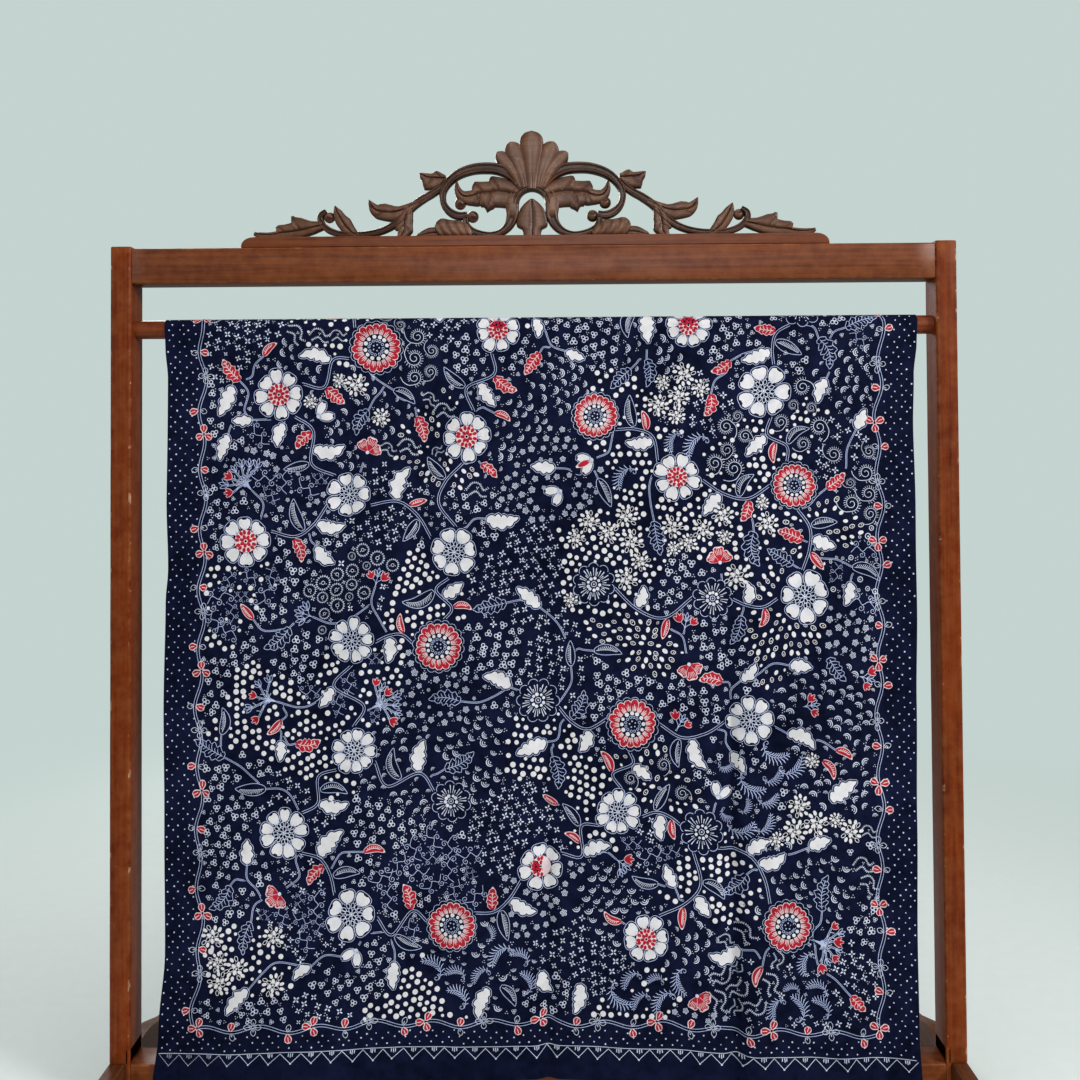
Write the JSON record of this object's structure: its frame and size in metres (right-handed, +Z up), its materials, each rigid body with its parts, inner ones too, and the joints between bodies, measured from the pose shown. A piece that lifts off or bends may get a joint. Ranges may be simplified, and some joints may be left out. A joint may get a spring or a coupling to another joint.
{
  "type": "batik sarong cloth on a carved wooden rack",
  "caption": "Hand-drawn navy, white and red batik cloth, folded in half over the rod of a free-standing red-brown wooden rack with a pierced, carved crest",
  "frame": {"origin": "on the floor, below the middle of the rack", "axes": "+X to the right along the rod, +Y to the back, +Z up; the front half of the cloth faces -Y"},
  "size_m": [1.1776, 0.4, 1.3436],
  "materials": {
    "red_brown_wood": "satin varnished red-brown hardwood with fine lengthwise grain",
    "dark_wood": "darker varnished hardwood, carved, with brown in the hollows",
    "rod_wood": "turned and varnished hardwood",
    "bolt_steel": "dull browned steel",
    "batik_cotton": "matt plain-woven cotton, wax-resist dyed navy with white and red ornament"
  },
  "bodies": {
    "root": {"post_left": "red_brown_wood", "post_right": "red_brown_wood", "foot_left": "dark_wood", "foot_right": "dark_wood", "top_rail": "red_brown_wood", "bottom_rail": "red_brown_wood", "hanging_rod": "rod_wood", "crest_moulding": "red_brown_wood", "carved_crest": "dark_wood", "top_bolt_left": "bolt_steel", "top_bolt_right": "bolt_steel", "foot_bolt_left": "bolt_steel", "sarong_front": "batik_cotton", "sarong_back": "batik_cotton"}
  },
  "joints": []
}
